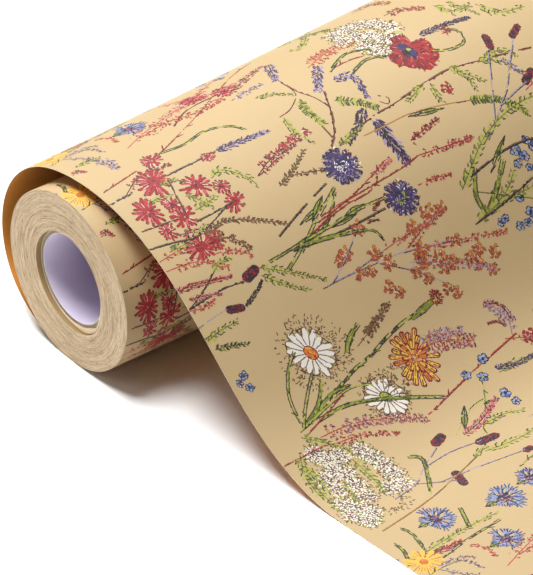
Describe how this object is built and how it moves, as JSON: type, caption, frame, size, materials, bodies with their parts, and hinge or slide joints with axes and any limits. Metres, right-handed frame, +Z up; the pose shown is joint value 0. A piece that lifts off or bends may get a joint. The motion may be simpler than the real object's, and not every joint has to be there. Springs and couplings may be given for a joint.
{
  "type": "wrapping paper roll",
  "caption": "Roll of flower-printed kraft wrapping paper on a cardboard core, its outer turn loose and the free end drawn off flat.",
  "frame": {"origin": "middle of the core's bore, on the roll's axis", "axes": "+X along the roll's axis, +Z up, the pulled-off sheet runs towards -Y; the roll stands on z = -0.0255"},
  "size_m": [0.4508, 0.2514, 0.0674],
  "materials": {
    "core_liner": "matt lavender lining paper",
    "core_board": "matt grey recycled board",
    "core_cover": "matt",
    "tape": "clear double-sided tape",
    "kraft_paper": "matt natural kraft",
    "printed_paper": "matt kraft with a printed wildflower pattern"
  },
  "bodies": {
    "web": {"paper_loose_turn": "printed_paper", "paper_draped_sheet": "printed_paper"},
    "roll": {"core_liner_ply": "core_liner", "core_board_ply_inner": "core_board", "core_board_ply_outer": "core_board", "core_cover_ply": "core_cover", "starter_tape": "tape", "paper_first_turn": "kraft_paper", "paper_wound_pack": "kraft_paper"},
    "sheet_end": {"paper_free_end": "printed_paper"}
  },
  "joints": [
    {"name": "roll_spin", "type": "hinge", "parent": "web", "child": "roll", "pos_m": [0, 0, 0], "axis": [1, 0, 0], "continuous": true},
    {"name": "sheet_lift", "type": "hinge", "parent": "web", "child": "sheet_end", "pos_m": [0, -0.1122, -0.02535], "axis": [-1, 0, 0], "range_deg": [0, 70]}
  ]
}
